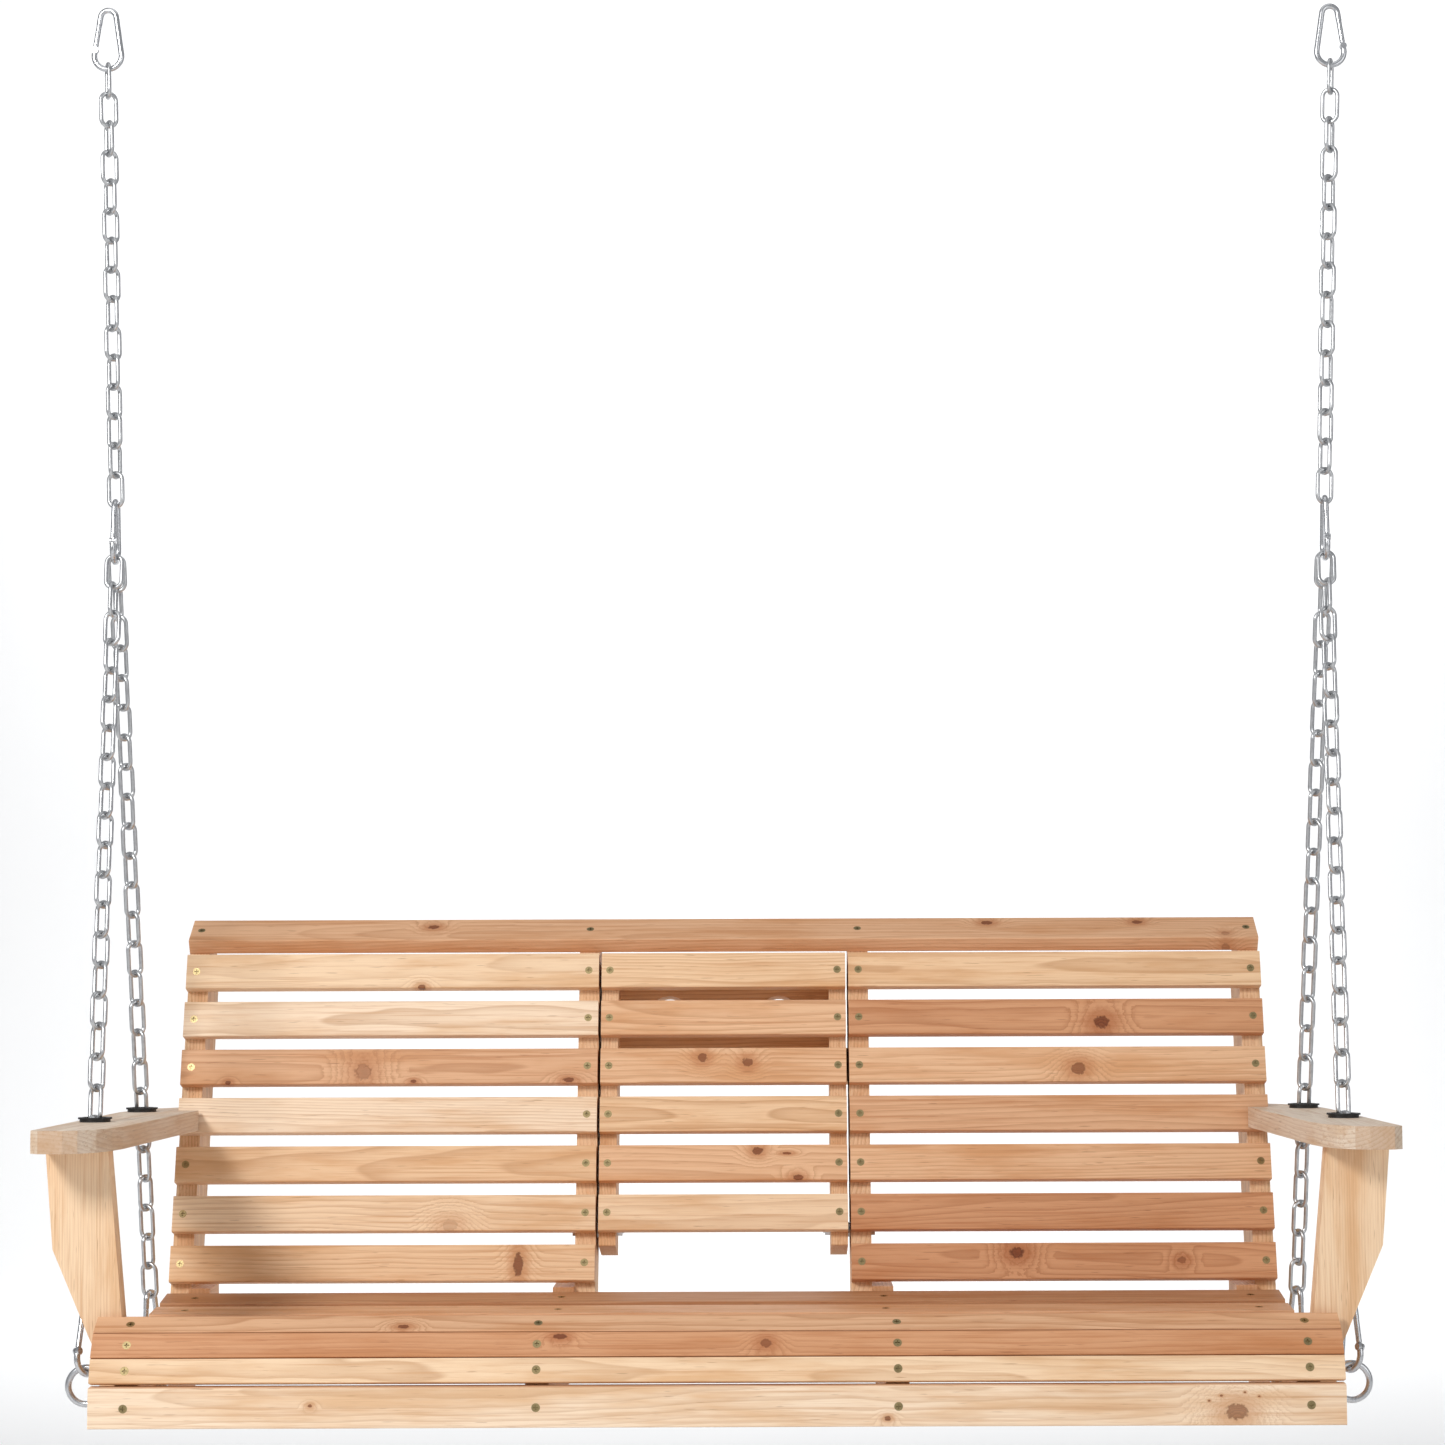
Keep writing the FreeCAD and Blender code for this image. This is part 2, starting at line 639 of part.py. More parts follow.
front_eye = Vector(*FRONT_EYE)
eye_bolts = mirrored([eye_bolt(front_eye), eye_bolt(rear_eye)])
eye_nuts = mirrored(nut_and_washer(front_eye) + nut_and_washer(rear_eye))
eye_holes = []
for eye in (front_eye, rear_eye):
    point = (eye.y, eye.z)
    eye_holes.append(rod(point_x(500, point), point_x(SLAT_END, point), BOLT_R + FIT))
eye_holes = mirrored(eye_holes)

# ---------------------------------------------------------------- armrests and their posts

arm_outline = [
    (SLAT_END - 26.0, 493.0),
    (649.0, 76.0),
    (653.0, 38.0),
    (663.0, 4.0),
    (679.0, -17.0),
    (694.0, -23.0),
    (ARM_OUTER - 10.0, -23.0),
    (ARM_OUTER, -12.0),
    (ARM_OUTER, 440.0),
    (724.0, 505.0),
    (705.0, 560.0),
    (683.0, 587.0),
    (SLAT_END + 0.4, 587.0),
    (SLAT_END + 0.4, 493.0),
]
armrest = prism_z(arm_outline, ARM_TOP - ARM_T, ARM_TOP)

arm_post_outline = [
    (outer_support[1], 12.0),
    (outer_support[1], 92.0),
    (662.0, ARM_TOP - ARM_T),
    (ARM_OUTER, ARM_TOP - ARM_T),
    (721.0, 184.0),
    (680.0, 89.0),
    (SLAT_END, 64.0),
    (SLAT_END, 12.0),
]
arm_post_points = [Vector(x, ARM_POST_Y[0], z) for x, z in arm_post_outline]
arm_post = prism(arm_post_points, ORIGIN, Y_AXIS * (ARM_POST_Y[1] - ARM_POST_Y[0]))

# screws: arm post from inside its seat support, armrest into the end post
for z in (30.0, 62.0):
    for side in (-1, 1):
        head = Vector(side * outer_support[0], sum(ARM_POST_Y) / 2, z)
        bench_screws.add(head, X_AXIS * side, 42)
for side in (-1, 1):
    head = Vector(side * 706.0, 557.0, ARM_TOP - ARM_T / 2)
    bench_screws.add(head, X_AXIS * -side, 60)
arm_screw_recess = rod(head + X_AXIS * -0.1, head + X_AXIS * 12, HEAD_R + 0.4)

# dowels join the armrest to the top of its post
dowel_length = 40.0
dowels = []
dowel_holes = []
for x in (680.0, 712.0):
    foot = Vector(x, sum(ARM_POST_Y) / 2, ARM_TOP - ARM_T - dowel_length / 2 - 4.0)
    dowels.append(rod(foot, foot + Z_AXIS * dowel_length, 4.0))
    dowel_holes.append(rod(foot - Z_AXIS * 1, foot + Z_AXIS * (dowel_length + 1), 4.0 + FIT))



def flange_at(seat):
    """Thin lobed rim round the top of a grommet."""
    rim_h = 1.9
    foot = seat + Z_AXIS * (GROMMET_H - rim_h)
    rim = Part.makeCylinder(GROMMET_FLANGE, rim_h, foot)
    notches = []
    for k in range(8):
        aside = Vector(cosd(45 * k + 12), sind(45 * k + 12), 0) * (GROMMET_FLANGE + 1.6)
        notches.append(Part.makeCylinder(2.8, 4, foot + aside - Z_AXIS))
    return rim.cut(notches)


# chain holes follow the lean of the chains; a grommet sits in the top of each
grommets = []
armrest = armrest.cut(dowel_holes + [arm_screw_recess])
arm_post = arm_post.cut(dowel_holes)
for start, ring in ((front_start, front_ring), (rear_start, rear_ring)):
    run = (ring - start).normalize()
    seat = start + run * ((start.z - ARM_TOP + (GROMMET_DEPTH - GROMMET_H) / 2) / -run.z)
    seat = Vector(seat.x, seat.y, ARM_TOP)
    through = start + run * ((start.z - ARM_TOP + ARM_T) / -run.z)
    recess_floor = seat - Z_AXIS * (GROMMET_DEPTH + FIT)
    armrest = armrest.cut(Part.makeCylinder(GROMMET_R + FIT, GROMMET_DEPTH + FIT, recess_floor))
    armrest = armrest.cut(rod(through - run * (ARM_T - 4), through + run * 10, GROMMET_BORE + 0.5))
    tube = Part.makeCylinder(GROMMET_R, GROMMET_DEPTH, seat - Z_AXIS * GROMMET_DEPTH)
    collar = Part.makeCylinder(GROMMET_COLLAR, GROMMET_H, seat)
    bore = Part.makeCylinder(GROMMET_BORE, 30, seat - Z_AXIS * 15)
    grommets.append(tube.fuse([collar, flange_at(seat)]).cut(bore).removeSplitter())

wood["armrest_right"] = [armrest]
wood["armrest_left"] = [armrest.mirror(ORIGIN, X_AXIS)]
wood["arm_posts"] = mirrored([arm_post])

# ---------------------------------------------------------------- drill and collect

nodes = {}
bench_holes = bench_screws.holes + eye_holes + pivot_hole
for name, pieces in wood.items():
    nodes[name] = [drill(piece, bench_holes) for piece in pieces]
for name, pieces in console_wood.items():
    nodes[name] = [drill(piece, console_screws.holes + pivot_hole) for piece in pieces]

nodes["bench_screws"] = bench_screws.screws
nodes["console_screws"] = console_screws.screws
nodes["arm_dowels"] = mirrored(dowels)
nodes["console_pivots"] = pivot_gear
nodes["grommets"] = mirrored(grommets)
nodes["eye_bolts"] = eye_bolts
nodes["eye_nuts"] = eye_nuts
nodes["front_chains"] = mirrored(front_leg)
nodes["rear_chains"] = mirrored(rear_leg)
nodes["upper_chains"] = mirrored(upper_chain)
nodes["top_carabiners"] = carabiners["top"]
nodes["mid_carabiners"] = carabiners["mid"]
nodes["lower_carabiners"] = carabiners["front"] + carabiners["rear"]
for name in carabiner_frames:
    nodes["gate_%s_right" % name] = [right_gates[name]]
    nodes["gate_%s_left" % name] = [left_gates[name]]

# ---------------------------------------------------------------- export

os.makedirs("parts", exist_ok=True)
to_origin = Vector(0, -HANG_Y, -hang_height)
for name, pieces in nodes.items():
    solids = []
    for piece in pieces:
        solids += piece.Solids
    shape = solids[0] if len(solids) == 1 else Part.makeCompound(solids)
    shape = shape.copy()
    shape.translate(to_origin)
    shape.exportStep("parts/%s.step" % name)
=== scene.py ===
import math
import random

import bpy
from mathutils import Matrix, Vector


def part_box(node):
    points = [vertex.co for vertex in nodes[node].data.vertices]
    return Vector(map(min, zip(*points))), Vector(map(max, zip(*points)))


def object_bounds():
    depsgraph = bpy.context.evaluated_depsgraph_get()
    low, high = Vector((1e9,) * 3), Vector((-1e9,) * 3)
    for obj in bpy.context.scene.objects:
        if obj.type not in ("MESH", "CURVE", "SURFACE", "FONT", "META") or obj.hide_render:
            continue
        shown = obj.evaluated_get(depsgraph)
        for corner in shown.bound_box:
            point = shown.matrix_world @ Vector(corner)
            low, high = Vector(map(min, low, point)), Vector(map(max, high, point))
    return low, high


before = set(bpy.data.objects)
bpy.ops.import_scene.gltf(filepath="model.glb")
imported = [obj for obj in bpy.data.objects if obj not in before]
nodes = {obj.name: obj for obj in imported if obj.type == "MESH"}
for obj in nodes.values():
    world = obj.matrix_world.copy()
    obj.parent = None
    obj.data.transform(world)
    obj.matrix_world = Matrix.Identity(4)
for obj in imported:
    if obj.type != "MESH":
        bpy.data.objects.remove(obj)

# Looks of the porch swing: procedural cedar, bright zinc and black plastic on the packed
# parts, a pale studio and a camera at the photograph's angle.  Lengths are in metres.

cad_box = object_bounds()

# ---------------------------------------------------------------- settings

# camera, measured from the middle of the apron's bottom front edge; the bench stands a
# little to the right of the picture's middle, which takes a small sideways shift
CAMERA_AT = Vector((0.057, -3.400, 0.475))
CAMERA_PITCH = 4.615
CAMERA_ROLL = -0.201
CAMERA_LENS = 78.75
CAMERA_SHIFT = -0.0318
SENSOR_WIDTH = 36.0
CLIP_END = 60.0

# studio
FLOOR_DROP = 0.42            # from the lowest point of the swing down to the floor
SWEEP_START = 6.2            # where the floor starts to bend up, clear of a camera behind the swing
SWEEP_BEND = 1.4
SWEEP_STEPS = 12
SWEEP_REACH = 9.0            # how far the sheet goes to the front, to each side and up
SWEEP_WHITE = (0.93, 0.93, 0.93, 1.0)
SEAT_TARGET = (0.0, 0.0, -1.2)
WORLD_COLOUR = (0.95, 0.97, 1.0, 1.0)
WORLD_STRENGTH = 0.34

# sawn boards whose edges are eased with sandpaper
EASED = ("armrest_left", "armrest_right", "arm_posts", "back_posts", "seat_supports", "cup_board")
EASE_WIDTH = 0.0014
EASE_ANGLE = math.radians(35)
WELD_GAP = 0.00002

# wood tones as the eye sees them, 0 to 255
TONES = {
    "cream": (251, 224, 194),
    "straw": (246, 213, 176),
    "honey": (241, 202, 161),
    "peach": (236, 190, 149),
    "tan": (226, 177, 137),
    "russet": (214, 157, 115),
    "brown": (192, 141, 102),
    "silver": (230, 210, 188),
}

BACK_TONES = {
    "left": ["straw", "cream", "tan", "cream", "honey", "straw", "honey"],
    "right": ["honey", "russet", "peach", "tan", "peach", "russet", "russet"],
    "console": ["honey", "peach", "peach", "honey", "peach", "straw"],
}
SEAT_TONES = ["tan", "honey", "peach", "honey", "tan", "brown"]

# what each feature of the wood does to the tone of its board
TINTS = {
    "early wood": (1.06, 1.08, 1.10),
    "late wood": (0.62, 0.46, 0.33),
    "warm cloud": (0.88, 0.74, 0.60),
    "strand": (0.74, 0.56, 0.42),
    "fibre": (0.68, 0.52, 0.40),
    "fleck": (0.42, 0.29, 0.20),
    "knot glow": (0.62, 0.36, 0.20),
    "knot light": (0.36, 0.18, 0.10),
    "knot dark": (0.20, 0.09, 0.05),
    "knot rim": (0.12, 0.06, 0.03),
    "end grain": (0.66, 0.47, 0.33),
}

# node, tone, axis of the grain, axis across the wide face, contrast of the rings
OTHER_BOARDS = [
    ("top_slat", "tan", "X", "Y", 0.8),
    ("roll_slat_3", "tan", "X", "Y", 0.8),
    ("roll_slat_2", "russet", "X", "Z", 0.8),
    ("roll_slat_1", "straw", "X", "Z", 0.8),
    ("apron", "cream", "X", "Z", 0.6),
    ("stop_batten", "honey", "X", "Z", 0.8),
    ("cup_board", "honey", "X", "Z", 0.8),
    ("console_rails", "honey", "Z", "Y", 0.8),
    ("back_posts", "honey", "Z", "Y", 0.8),
    ("seat_supports", "peach", "Y", "Z", 0.8),
    ("arm_posts", "straw", "Z", "X", 0.4),
    ("armrest_left", "silver", "Y", "X", 0.6),
    ("armrest_right", "silver", "Y", "X", 0.6),
    ("arm_dowels", "straw", "Z", "X", 0.8),
]

PLASTIC_BLACK = (0.012, 0.012, 0.013, 1.0)
PLASTIC_RUBBED = (0.035, 0.034, 0.033, 1.0)


def knot(along, share, radius_mm, tall=1.0, dark=1.0):
    """A knot: place along the board, share of the way across it, size, upright stretch, darkness."""
    return (along, share, radius_mm / 1000.0, tall, dark)


KNOTS = {
    "back_left_1": [knot(-0.375, 0.10, 3.5)],
    "back_left_3": [knot(-0.443, 0.40, 7.5, 1.3, 0.45), knot(-0.609, 0.12, 2.6),
                    knot(-0.381, 0.15, 3.0, 0.7), knot(-0.190, 0.17, 5.0, 0.6)],
    "back_left_6": [knot(-0.331, 0.22, 7.0, 1.0, 0.22)],
    "back_left_7": [knot(-0.247, 0.50, 4.2, 3.2)],
    "console_slat_3": [knot(-0.026, 0.75, 4.6, 1.2, 0.9), knot(0.030, 0.62, 4.6, 1.2, 0.9)],
    "console_slat_5": [knot(0.042, 0.85, 4.5), knot(0.078, 0.78, 4.0, 0.4), knot(0.091, 0.15, 4.5, 0.8)],
    "back_right_2": [knot(0.468, 0.38, 7.0, 1.1)],
    "back_right_3": [knot(0.437, 0.43, 6.5, 1.1, 0.8)],
    "back_right_7": [knot(0.355, 0.75, 6.5), knot(0.554, 0.55, 4.0, 1.0, 0.6)],
    "top_slat": [knot(-0.365, 0.50, 5.0, 0.8), knot(0.331, 0.60, 5.0, 0.8), knot(0.520, 0.60, 4.5, 0.8),
                 knot(0.628, 0.15, 4.0, 1.0, 0.4)],
    "roll_slat_3": [knot(-0.337, 0.20, 4.5, 0.7)],
    "roll_slat_2": [knot(-0.168, 0.85, 5.0, 0.6), knot(0.052, 0.60, 4.5, 1.0, 0.7)],
    "apron": [knot(-0.432, 0.55, 2.0), knot(0.181, 0.20, 2.5), knot(0.551, 0.34, 8.5, 1.0, 0.8),
              knot(0.535, 0.72, 1.3), knot(0.560, 0.80, 1.0),
              knot(0.522, 0.60, 1.0), knot(0.575, 0.70, 0.9)],
}

# ---------------------------------------------------------------- node graphs


def linear(tone):
    """Scene colour of a tone given as 0 to 255."""
    channels = []
    for value in tone:
        v = value / 255.0
        channels.append(v / 12.92 if v <= 0.04045 else ((v + 0.055) / 1.055) ** 2.4)
    return (channels[0], channels[1], channels[2], 1.0)


def scaled(colour, factors):
    return (colour[0] * factors[0], colour[1] * factors[1], colour[2] * factors[2], 1.0)


class Graph:
    """Short names for building a material's nodes. Inputs may be numbers, colours or sockets."""

    def __init__(self, name):
        self.material = bpy.data.materials.new(name)
        self.material.use_nodes = True
        self.tree = self.material.node_tree
        self.shader = self.tree.nodes["Principled BSDF"]
        self.coords = self.tree.nodes.new("ShaderNodeTexCoord")

    def feed(self, socket, value):
        if isinstance(value, bpy.types.NodeSocket):
            self.tree.links.new(value, socket)
        else:
            socket.default_value = value

    def math(self, operation, first, second=0.0, third=0.0):
        node = self.tree.nodes.new("ShaderNodeMath")
        node.operation = operation
        for socket, value in zip(node.inputs, (first, second, third)):
            self.feed(socket, value)
        return node.outputs[0]

    def mix(self, factor, first, second):
        node = self.tree.nodes.new("ShaderNodeMix")
        node.data_type = "RGBA"
        self.feed(node.inputs[0], factor)
        self.feed(node.inputs[6], first)
        self.feed(node.inputs[7], second)
        return node.outputs[2]

    def split(self, vector):
        node = self.tree.nodes.new("ShaderNodeSeparateXYZ")
        self.feed(node.inputs[0], vector)
        return dict(zip("XYZ", node.outputs))

    def join(self, x, y, z):
        node = self.tree.nodes.new("ShaderNodeCombineXYZ")
        for socket, value in zip(node.inputs, (x, y, z)):
            self.feed(socket, value)
        return node.outputs[0]

    def noise(self, vector, scale, detail=3.0, roughness=0.55):
        node = self.tree.nodes.new("ShaderNodeTexNoise")
        self.feed(node.inputs["Vector"], vector)
        node.inputs["Scale"].default_value = scale
        node.inputs["Detail"].default_value = detail
        node.inputs["Roughness"].default_value = roughness
        return node.outputs[0]

    def span(self, value, low, high, out_low=0.0, out_high=1.0):
        """Smooth step from out_low to out_high as value goes from low to high."""
        node = self.tree.nodes.new("ShaderNodeMapRange")
        node.interpolation_type = "SMOOTHSTEP"
        self.feed(node.inputs["Value"], value)
        limits = {"From Min": low, "From Max": high, "To Min": out_low, "To Max": out_high}
        for name, number in limits.items():
            node.inputs[name].default_value = number
        return node.outputs[0]

    def bump(self, height, strength, distance):
        node = self.tree.nodes.new("ShaderNodeBump")
        node.inputs["Strength"].default_value = strength
        node.inputs["Distance"].default_value = distance
        self.feed(node.inputs["Height"], height)
        self.tree.links.new(node.outputs[0], self.shader.inputs["Normal"])


def stretched(graph, along, across, depth, ratio, offset):
    """Texture place drawn out along the grain, shifted by an amount of the board's own."""
    return graph.join(
        graph.math("MULTIPLY_ADD", along, ratio, offset),
        graph.math("ADD", across, offset * 0.37),
        graph.math("ADD", depth, offset * 0.61),
    )


def knot_masks(graph, along, across, offset, knots, radius):
    """The ring radius pushed out round the knots, and masks of their cores, rims and glow."""
    core = 0.0
    rim = 0.0
    halo = 0.0
    for knot_along, knot_across, size, tall, dark in knots:
        run = graph.math("MULTIPLY", graph.math("SUBTRACT", along, knot_along), 0.72)
        rise = graph.math("DIVIDE", graph.math("SUBTRACT", across, knot_across), tall)
        apart = graph.math("MULTIPLY_ADD", run, run, graph.math("MULTIPLY", rise, rise))
        apart = graph.math("SQRT", apart)
        rough = graph.noise(graph.join(along, across, offset), 260.0, 3.0)
        apart = graph.math("MULTIPLY_ADD", graph.math("SUBTRACT", rough, 0.5), size * 1.1, apart)
        near = graph.span(apart, 0.0, size * 5.5, 1.0, 0.0)
        radius = graph.math("MULTIPLY_ADD", near, size * 3.0, radius)
        disc = graph.span(apart, size * 0.70, size * 1.10, dark, 0.0)
        edge = graph.math("MULTIPLY", graph.span(apart, size * 0.65, size * 0.95), disc)
        glow = graph.span(apart, size * 0.9, size * 3.4, 0.4 + 0.6 * dark, 0.0)
        core = graph.math("MAXIMUM", core, disc)
        rim = graph.math("MAXIMUM", rim, edge)
        halo = graph.math("MAXIMUM", halo, glow)
    return radius, core, rim, halo


def wood(name, tone, centre, grain="X", face="Z", knots=(), contrast=0.8, seed=0):
    """Softwood board whose fibres run along grain. face is the axis across its wide face.

    Rings are cut from a log whose heart lies behind the board, so faces, edges and end
    grain all agree. knots are as knot() gives them, placed in metres, and run through the board.
    """
    chance = random.Random(seed)
    graph = Graph(name)
    axes = graph.split(graph.coords.outputs["Object"])
    depth_axis = [axis for axis in "XYZ" if axis not in (grain, face)][0]
    along, across, depth = axes[grain], axes[face], axes[depth_axis]
    middle = dict(zip("XYZ", centre))
    offset = chance.uniform(2.0, 30.0)
    colour = linear(TONES[tone])

    # the heart of the log lies off the board and drifts along it
    heart_across = middle[face] + chance.uniform(-0.030, 0.030)
    heart_depth = middle[depth_axis] + chance.choice((-1, 1)) * chance.uniform(0.025, 0.09)
    drift = chance.uniform(-0.035, 0.035)
    off_across = graph.math("MULTIPLY_ADD", along, drift, -heart_across)
    off_across = graph.math("ADD", off_across, across)
    off_depth = graph.math("SUBTRACT", depth, heart_depth)
    depth_square = graph.math("MULTIPLY", off_depth, off_depth)
    radius = graph.math("SQRT", graph.math("MULTIPLY_ADD", off_across, off_across, depth_square))
    sway = graph.noise(stretched(graph, along, across, depth, 0.22, offset), 9.0, 3.0, 0.5)
    radius = graph.math("MULTIPLY_ADD", sway, 0.022, radius)

    radius, core, rim, halo = knot_masks(graph, along, across, offset, knots, radius)

    # each ring is pale early wood that darkens into a thin late line
    spacing = chance.uniform(0.0030, 0.0046)
    ring = graph.math("FRACT", graph.math("DIVIDE", radius, spacing))
    late = graph.math("MULTIPLY", graph.math("POWER", ring, 2.6), graph.span(ring, 0.90, 1.0, 1.0, 0.0))
    band = graph.noise(graph.join(graph.math("MULTIPLY", radius, 60.0), offset, 0.0), 1.0, 2.0)
    late = graph.math("MULTIPLY", late, graph.span(band, 0.30, 0.65, 0.45, 1.0))

    fibre_place = stretched(graph, along, across, depth, 0.018, offset)
    fibre = graph.noise(fibre_place, 950.0, 2.0, 0.6)
    strand = graph.noise(fibre_place, 260.0, 3.0, 0.55)
    cloud = graph.noise(stretched(graph, along, across, depth, 0.16, offset), 26.0, 4.0, 0.6)
    flecks = graph.noise(stretched(graph, along, across, depth, 0.06, offset + 3.0), 520.0, 1.0)

    tint = {feature: scaled(colour, factors) for feature, factors in TINTS.items()}
    base = graph.mix(graph.span(cloud, 0.42, 0.72), tint["early wood"], tint["warm cloud"])
    base = graph.mix(graph.math("MULTIPLY", late, contrast), base, tint["late wood"])
    base = graph.mix(graph.span(strand, 0.50, 0.74, 0.0, 0.62), base, tint["strand"])
    base = graph.mix(graph.span(fibre, 0.52, 0.78, 0.0, 0.50), base, tint["fibre"])
    base = graph.mix(graph.span(flecks, 0.68, 0.78, 0.0, 0.50), base, tint["fleck"])
    if knots:
        swirl = graph.math("FRACT", graph.math("MULTIPLY", radius, 900.0))
        heart = graph.mix(swirl, tint["knot light"], tint["knot dark"])
        base = graph.mix(graph.math("MULTIPLY", halo, 0.62), base, tint["knot glow"])
        base = graph.mix(graph.math("MULTIPLY", core, 0.90), base, heart)
        base = graph.mix(graph.math("MULTIPLY", rim, 0.80), base, tint["knot rim"])

    # end grain soaks up more of the finish and looks darker
    facing = graph.split(graph.coords.outputs["Normal"])
    end = graph.span(graph.math("ABSOLUTE", facing[grain]), 0.80, 0.97)
    base = graph.mix(graph.math("MULTIPLY", end, 0.55), base, tint["end grain"])
    graph.feed(graph.shader.inputs["Base Color"], base)

    rough = graph.math("MULTIPLY_ADD", fibre, 0.16, 0.50)
    rough = graph.math("MULTIPLY_ADD", late, -0.08, rough)
    graph.feed(graph.shader.inputs["Roughness"], rough)
    graph.shader.inputs["Specular IOR Level"].default_value = 0.32
    height = graph.math("MULTIPLY_ADD", late, 0.55, graph.math("MULTIPLY", strand, 0.8))
    height = graph.math("MULTIPLY_ADD", fibre, 0.7, height)
    height = graph.math("MULTIPLY_ADD", core, -0.8, height)
    graph.bump(height, 0.34, 0.0006)
    return graph.material


def zinc(name, tint, roughness, wear):
    """Plated steel: brushed by handling, with faint blotches in the plating."""
    graph = Graph(name)
    place = graph.coords.outputs["Object"]
    blotch = graph.noise(place, 95.0, 4.0, 0.6)
    grit = graph.noise(place, 900.0, 2.0, 0.6)
    colour = (tint[0], tint[1], tint[2], 1.0)
    dull = scaled(colour, (0.62, 0.62, 0.64))
    base = graph.mix(graph.span(blotch, 0.40, 0.72, 0.0, wear), colour, dull)
    base = graph.mix(graph.span(grit, 0.60, 0.80, 0.0, 0.35), base, scaled(colour, (0.45, 0.44, 0.43)))
    graph.feed(graph.shader.inputs["Base Color"], base)
    graph.shader.inputs["Metallic"].default_value = 1.0
    shine = graph.math("MULTIPLY_ADD", blotch, 0.22, roughness - 0.08)
    graph.feed(graph.shader.inputs["Roughness"], shine)
    graph.bump(graph.math("MULTIPLY_ADD", grit, 0.5, blotch), 0.22, 0.0004)
    return graph.material


def black_plastic(name):
    """Moulded plastic with a fine spark texture and rubbed high spots."""
    graph = Graph(name)
    place = graph.coords.outputs["Object"]
    grain = graph.noise(place, 1400.0, 2.0)
    rub = graph.noise(place, 120.0, 3.0)
    base = graph.mix(graph.span(rub, 0.45, 0.75, 0.0, 0.5), PLASTIC_BLACK, PLASTIC_RUBBED)
    graph.feed(graph.shader.inputs["Base Color"], base)
    graph.feed(graph.shader.inputs["Roughness"], graph.math("MULTIPLY_ADD", rub, 0.25, 0.36))
    graph.bump(grain, 0.25, 0.0003)
    return graph.material


# ---------------------------------------------------------------- paint the parts


def paint(node, material):
    for material_slot in nodes[node].material_slots:
        material_slot.material = material


def middle_of(node):
    low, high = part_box(node)
    return [(a + b) / 2 for a, b in zip(low, high)]


def knots_on(node, face):
    """Knots of a board, with the share across its face turned into metres."""
    axis = "XYZ".index(face)
    low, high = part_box(node)
    placed = []
    for along, share, size, tall, dark in KNOTS.get(node, ()):
        placed.append((along, low[axis] + share * (high[axis] - low[axis]), size, tall, dark))
    return placed


def paint_wood(node, tone, grain="X", face="Z", contrast=0.8, seed=0):
    knots = knots_on(node, face)
    material = wood("wood_" + node, tone, middle_of(node), grain, face, knots, contrast, seed)
    paint(node, material)


seed = 11
for side in ("left", "right"):
    for row, tone in enumerate(BACK_TONES[side], start=1):
        seed += 1
        paint_wood("back_%s_%d" % (side, row), tone, seed=seed)
for row, tone in enumerate(BACK_TONES["console"], start=1):
    seed += 1
    paint_wood("console_slat_%d" % row, tone, contrast=1.0 if row == 2 else 0.8, seed=seed)
for number, tone in enumerate(SEAT_TONES, start=1):
    seed += 1
    paint_wood("seat_slat_%d" % number, tone, face="Y", seed=seed)
for seed, (node, tone, grain, face, contrast) in enumerate(OTHER_BOARDS, start=51):
    paint_wood(node, tone, grain, face, contrast, seed)

chain_zinc = zinc("zinc_chain", (0.66, 0.67, 0.68), 0.30, 0.55)
forged_zinc = zinc("zinc_forged", (0.70, 0.71, 0.73), 0.24, 0.45)
screw_zinc = zinc("zinc_yellow", (0.44, 0.34, 0.17), 0.36, 0.7)
for node in nodes:
    if node.endswith("chains"):
        paint(node, chain_zinc)
    elif node.endswith("screws"):
        paint(node, screw_zinc)
    elif node.endswith(("carabiners", "bolts", "nuts", "pivots")) or node.startswith("gate_"):
        paint(node, forged_zinc)
paint("grommets", black_plastic("plastic_grommet"))

for node in EASED:
    weld = nodes[node].modifiers.new("weld", "WELD")
    weld.merge_threshold = WELD_GAP
    ease = nodes[node].modifiers.new("ease", "BEVEL")
    ease.width = EASE_WIDTH
    ease.segments = 2
    ease.limit_method = "ANGLE"
    ease.angle_limit = EASE_ANGLE

# ---------------------------------------------------------------- studio

apron_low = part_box("apron")[0]
bench_origin = Vector((0.0, apron_low[1], apron_low[2]))
floor_z = cad_box[0][2] - FLOOR_DROP


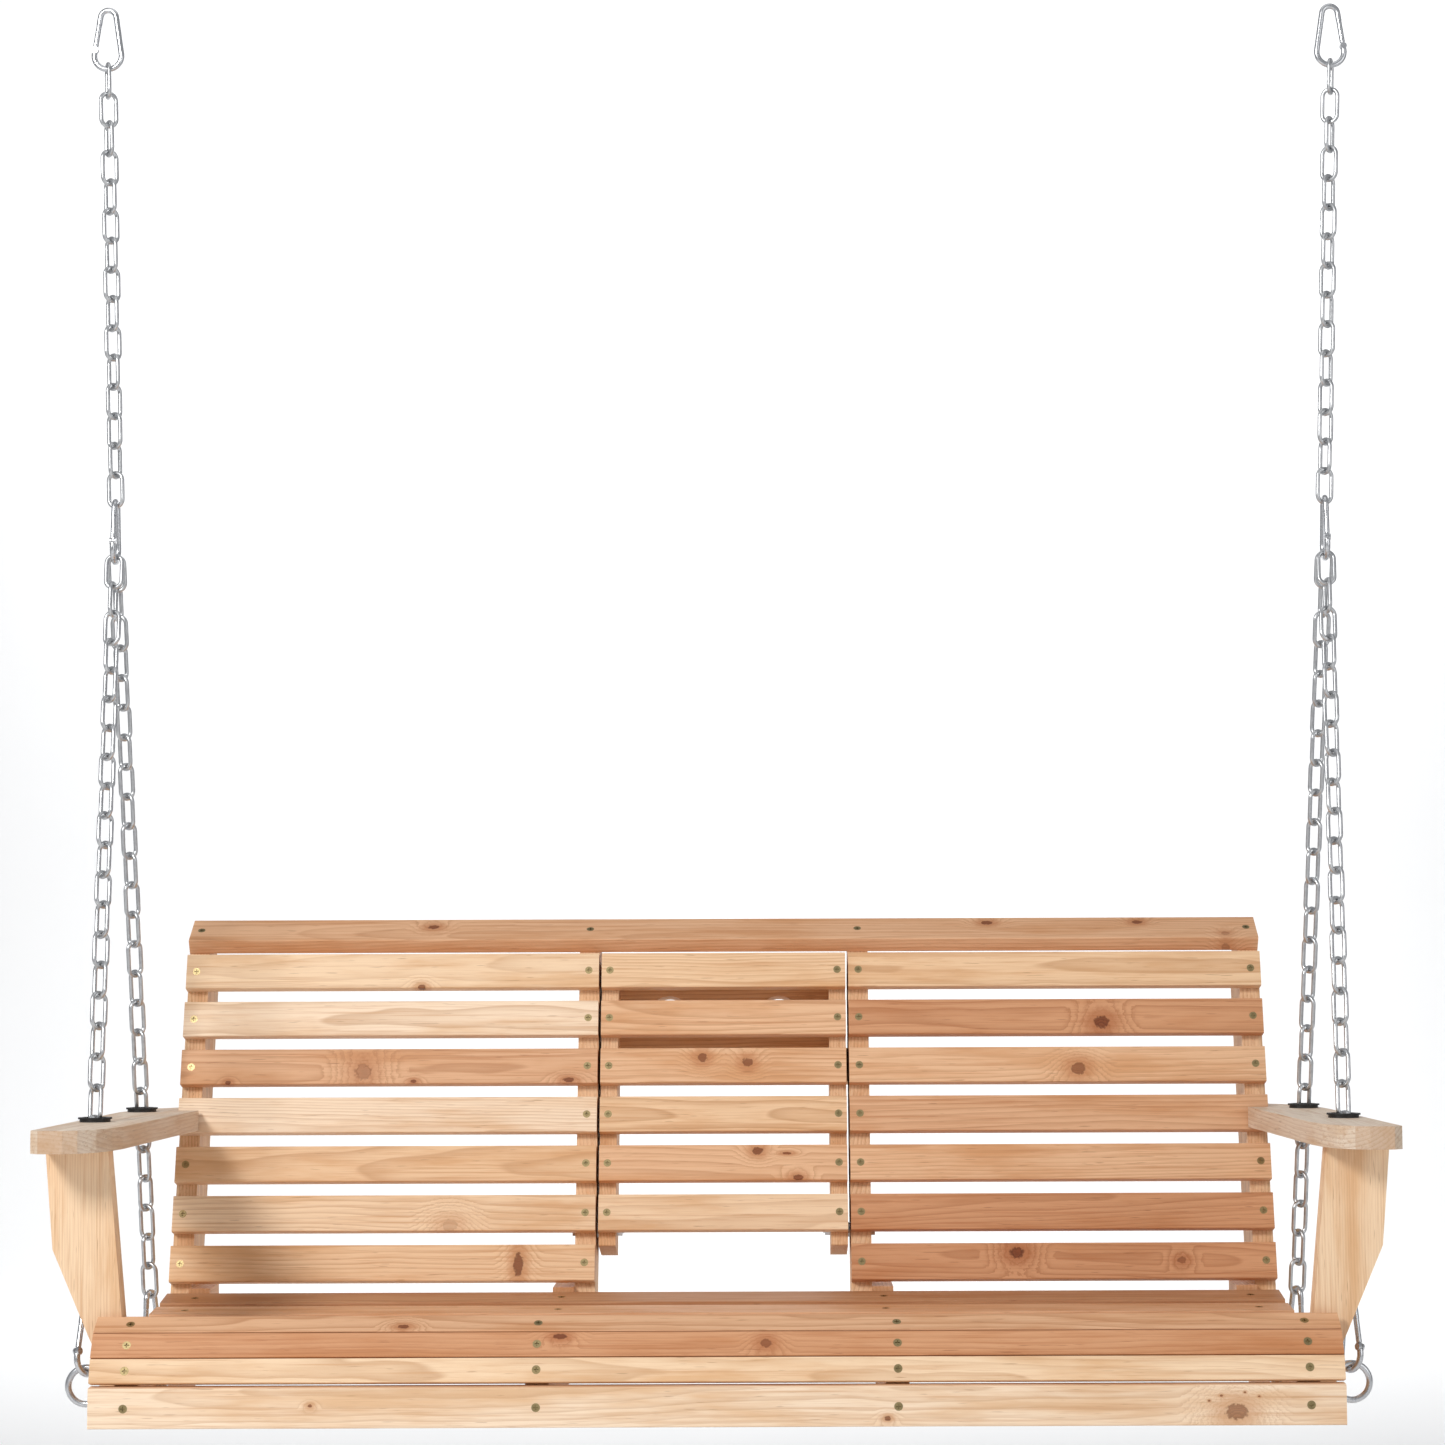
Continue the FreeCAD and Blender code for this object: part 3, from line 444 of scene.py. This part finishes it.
def backdrop():
    """Floor that sweeps up into a wall behind the swing, as one smooth sheet."""
    profile = [(-SWEEP_REACH, floor_z), (SWEEP_START, floor_z)]
    for step in range(1, SWEEP_STEPS + 1):
        angle = math.radians(90 * step / SWEEP_STEPS)
        forward = SWEEP_START + SWEEP_BEND * math.sin(angle)
        profile.append((forward, floor_z + SWEEP_BEND * (1 - math.cos(angle))))
    profile.append((SWEEP_START + SWEEP_BEND, floor_z + SWEEP_REACH))
    verts = []
    faces = []
    for y, z in profile:
        verts += [(-SWEEP_REACH, y, z), (SWEEP_REACH, y, z)]
    for k in range(len(profile) - 1):
        faces.append((2 * k, 2 * k + 1, 2 * k + 3, 2 * k + 2))
    mesh = bpy.data.meshes.new("studio_sweep")
    mesh.from_pydata(verts, [], faces)
    mesh.polygons.foreach_set("use_smooth", [True] * len(faces))
    sweep = bpy.data.objects.new("studio_sweep", mesh)
    bpy.context.scene.collection.objects.link(sweep)
    graph = Graph("studio_white")
    graph.shader.inputs["Base Color"].default_value = SWEEP_WHITE
    graph.shader.inputs["Roughness"].default_value = 0.9
    mesh.materials.append(graph.material)
    return sweep


backdrop()


def area_light(name, place, target, size, power, colour=(1.0, 1.0, 1.0)):
    data = bpy.data.lights.new(name, "AREA")
    data.shape = "SQUARE"
    data.size = size
    data.energy = power
    data.color = colour
    light = bpy.data.objects.new(name, data)
    light.location = place
    aim = Vector(target) - Vector(place)
    light.rotation_euler = aim.to_track_quat("-Z", "Y").to_euler()
    bpy.context.scene.collection.objects.link(light)


area_light("key_light", (-2.2, -3.4, 0.9), SEAT_TARGET, 1.0, 108.0, (1.0, 0.995, 0.985))
area_light("fill_light", (2.8, -3.0, -0.2), SEAT_TARGET, 2.4, 22.0)
area_light("top_light", (0.0, -0.4, 2.2), (0.0, 0.1, -1.5), 2.6, 12.0)
wall_from = (0.0, SWEEP_START - 1.8, 2.4)
wall_to = (0.0, SWEEP_START + 1.2, -0.6)
area_light("wall_light", wall_from, wall_to, 4.6, 210.0)

world = bpy.data.worlds.new("studio")
world.use_nodes = True
world.node_tree.nodes["Background"].inputs["Color"].default_value = WORLD_COLOUR
world.node_tree.nodes["Background"].inputs["Strength"].default_value = WORLD_STRENGTH
bpy.context.scene.world = world
bpy.context.scene.view_settings.view_transform = "Standard"

# ---------------------------------------------------------------- camera

lens = bpy.data.cameras.new("camera")
lens.sensor_width = SENSOR_WIDTH
lens.lens = CAMERA_LENS
lens.shift_x = CAMERA_SHIFT
lens.clip_end = CLIP_END
camera = bpy.data.objects.new("camera", lens)
bpy.context.scene.collection.objects.link(camera)
tip = Matrix.Rotation(math.radians(90 + CAMERA_PITCH), 4, "X")
roll = Matrix.Rotation(math.radians(CAMERA_ROLL), 4, "Z")
camera.matrix_world = Matrix.Translation(bench_origin + CAMERA_AT) @ tip @ roll
bpy.context.scene.camera = camera
